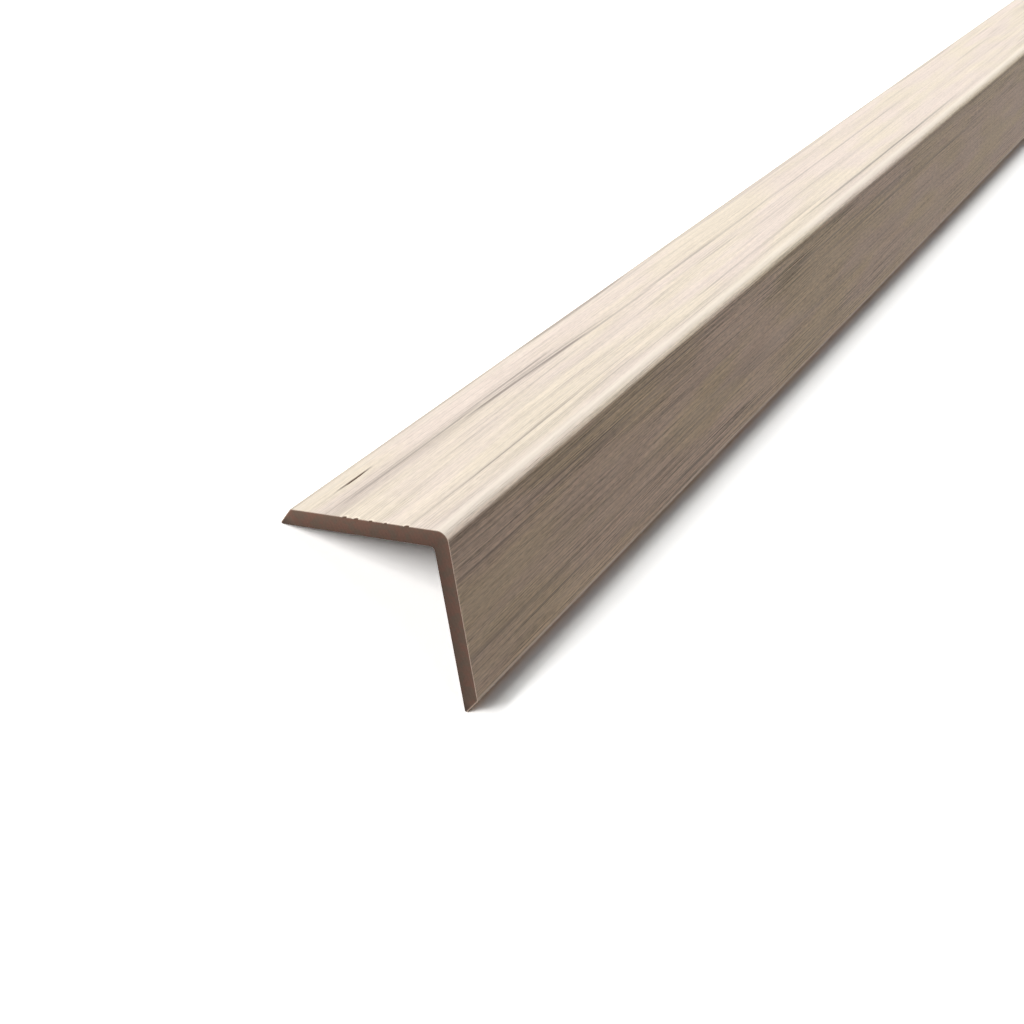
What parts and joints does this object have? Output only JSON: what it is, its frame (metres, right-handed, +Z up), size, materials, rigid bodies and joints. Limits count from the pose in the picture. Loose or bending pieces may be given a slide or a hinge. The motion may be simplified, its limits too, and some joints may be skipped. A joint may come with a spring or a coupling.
{
  "type": "composite cover strip",
  "caption": "Equal-leg angle cover strip in wood-plastic composite, with a rounded arris and bevelled leg tips, for capping outside corners and board ends.",
  "frame": {"origin": "on the floor under the arris, at mid-length, midway between the two leg tips", "axes": "+Y along the strip's length, +Z up through the arris, +X across to the right-hand leg tip"},
  "size_m": [0.0586, 2.2, 0.0335],
  "materials": {
    "capped_composite": "satin pale wood-look cap with fine lengthwise grain on the outer faces, raw brown composite on the cut ends and the inner faces"
  },
  "bodies": {
    "root": {"cover_strip": "capped_composite"}
  },
  "joints": []
}
